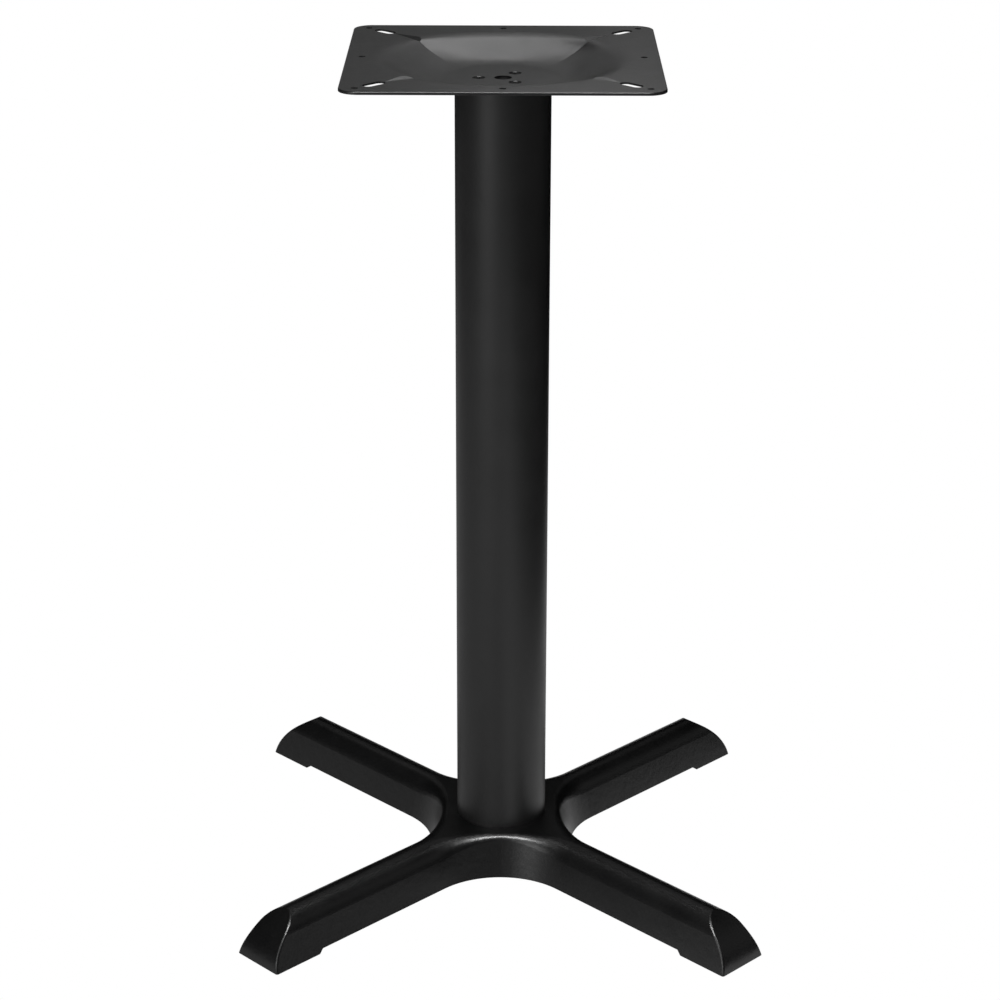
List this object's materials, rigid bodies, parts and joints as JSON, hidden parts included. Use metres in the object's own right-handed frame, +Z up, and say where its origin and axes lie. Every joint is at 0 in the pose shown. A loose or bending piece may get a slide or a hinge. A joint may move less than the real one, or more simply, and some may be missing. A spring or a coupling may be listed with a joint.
{
  "type": "x shaped table leg",
  "caption": "Pedestal table leg: cast iron X base, round steel column and square pressed steel top plate, with levelling glides.",
  "frame": {"origin": "on the floor, under the middle of the column", "axes": "+Z up along the column; X and Y square to the top plate's sides, the four arms on the diagonals between them"},
  "size_m": [0.4254, 0.4254, 0.698],
  "materials": {
    "cast_black": "semi-gloss black powder coat over a fine cast grain",
    "tube_black": "satin black powder coat",
    "plate_black": "fine grained black powder coat",
    "screw_black": "black oxide",
    "zinc_steel": "bright zinc",
    "inner_steel": "black primer",
    "nylon_black": "moulded nylon"
  },
  "bodies": {
    "base": {"cross_base": "cast_black", "column_tube": "tube_black", "column_head_plate": "inner_steel", "column_foot_plate": "inner_steel", "column_foot_nut": "inner_steel", "base_bolt": "zinc_steel", "base_washer": "zinc_steel", "spring_washer": "zinc_steel", "top_plate": "plate_black", "head_screw_1": "screw_black", "head_screw_2": "screw_black", "head_screw_3": "screw_black"},
    "glide_1": {"glide_stud_1": "zinc_steel", "glide_pad_1": "nylon_black"},
    "glide_2": {"glide_stud_2": "zinc_steel", "glide_pad_2": "nylon_black"},
    "glide_3": {"glide_stud_3": "zinc_steel", "glide_pad_3": "nylon_black"},
    "glide_4": {"glide_stud_4": "zinc_steel", "glide_pad_4": "nylon_black"}
  },
  "joints": [
    {"name": "glide_1_screw", "type": "slide", "parent": "base", "child": "glide_1", "axis": [0, 0, -1], "range_m": [0, 0.01]},
    {"name": "glide_2_screw", "type": "slide", "parent": "base", "child": "glide_2", "axis": [0, 0, -1], "range_m": [0, 0.01]},
    {"name": "glide_3_screw", "type": "slide", "parent": "base", "child": "glide_3", "axis": [0, 0, -1], "range_m": [0, 0.01]},
    {"name": "glide_4_screw", "type": "slide", "parent": "base", "child": "glide_4", "axis": [0, 0, -1], "range_m": [0, 0.01]}
  ]
}
